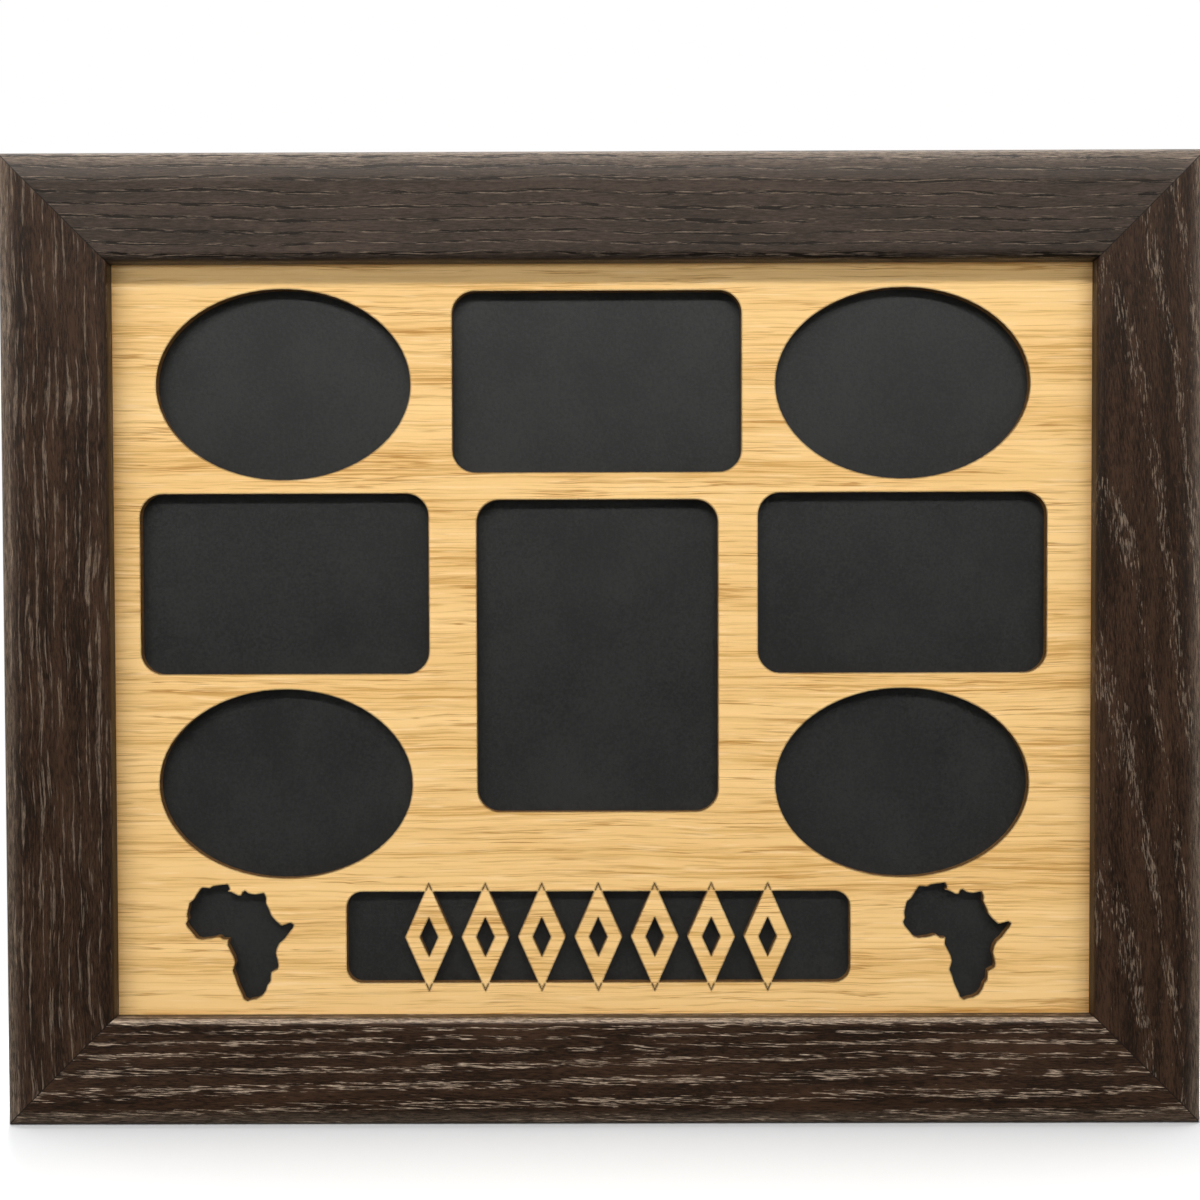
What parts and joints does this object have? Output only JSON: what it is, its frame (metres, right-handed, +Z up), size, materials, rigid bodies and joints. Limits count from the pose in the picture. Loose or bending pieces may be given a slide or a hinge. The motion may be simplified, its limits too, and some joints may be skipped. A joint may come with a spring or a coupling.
{
  "type": "collage photo frame",
  "caption": "Wall-hung collage picture frame: mitred wood moulding, glass, a pierced veneer window mat over black card, and a backing board held in by turn buttons.",
  "frame": {"origin": "the point of the wall, behind the middle notch of the sawtooth hanger, where the nail carries the frame", "axes": "+X along the width, to the right seen from the front; +Y from the front towards the wall; +Z up"},
  "size_m": [0.419, 0.0207, 0.3398],
  "materials": {
    "limed_oak": "dark brown stain with pale lime in the open grain, satin",
    "oak_veneer": "clear satin on honey oak veneer, burnt brown on the laser-cut edges",
    "black_card": "matt black card",
    "hardboard": "brown pressed fibre board, smooth",
    "clear_glass": "clear float glass, polished",
    "zinc_steel": "bright zinc plate",
    "nail_steel": "plain steel",
    "brassed_steel": "thin brass plate on steel",
    "bumper_rubber": "dark matt rubber"
  },
  "bodies": {
    "frame": {"top_rail": "limed_oak", "bottom_rail": "limed_oak", "left_rail": "limed_oak", "right_rail": "limed_oak", "v_nails_top_left": "nail_steel", "v_nails_top_right": "nail_steel", "v_nails_bottom_left": "nail_steel", "v_nails_bottom_right": "nail_steel", "glass_pane": "clear_glass", "window_mat": "oak_veneer", "black_card": "black_card", "backing_board": "hardboard", "turn_button_screws": "zinc_steel", "sawtooth_hanger": "brassed_steel", "hanger_nails": "brassed_steel", "wall_bumper_left": "bumper_rubber", "wall_bumper_right": "bumper_rubber"},
    "button_top_left": {"turn_button_top_left": "zinc_steel"},
    "button_top_right": {"turn_button_top_right": "zinc_steel"},
    "button_bottom_left": {"turn_button_bottom_left": "zinc_steel"},
    "button_bottom_right": {"turn_button_bottom_right": "zinc_steel"},
    "button_left": {"turn_button_left": "zinc_steel"},
    "button_right": {"turn_button_right": "zinc_steel"}
  },
  "joints": [
    {"name": "top_left_turn", "type": "hinge", "parent": "frame", "child": "button_top_left", "pos_m": [-0.1087, -0.0034, -0.0078], "axis": [0, 1, 0], "continuous": true},
    {"name": "top_right_turn", "type": "hinge", "parent": "frame", "child": "button_top_right", "pos_m": [0.1087, -0.0034, -0.0078], "axis": [0, 1, 0], "continuous": true},
    {"name": "bottom_left_turn", "type": "hinge", "parent": "frame", "child": "button_bottom_left", "pos_m": [-0.1087, -0.0034, -0.304], "axis": [0, 1, 0], "continuous": true},
    {"name": "bottom_right_turn", "type": "hinge", "parent": "frame", "child": "button_bottom_right", "pos_m": [0.1087, -0.0034, -0.304], "axis": [0, 1, 0], "continuous": true},
    {"name": "left_turn", "type": "hinge", "parent": "frame", "child": "button_left", "pos_m": [-0.1877, -0.0034, -0.1559], "axis": [0, 1, 0], "continuous": true},
    {"name": "right_turn", "type": "hinge", "parent": "frame", "child": "button_right", "pos_m": [0.1877, -0.0034, -0.1559], "axis": [0, 1, 0], "continuous": true}
  ]
}
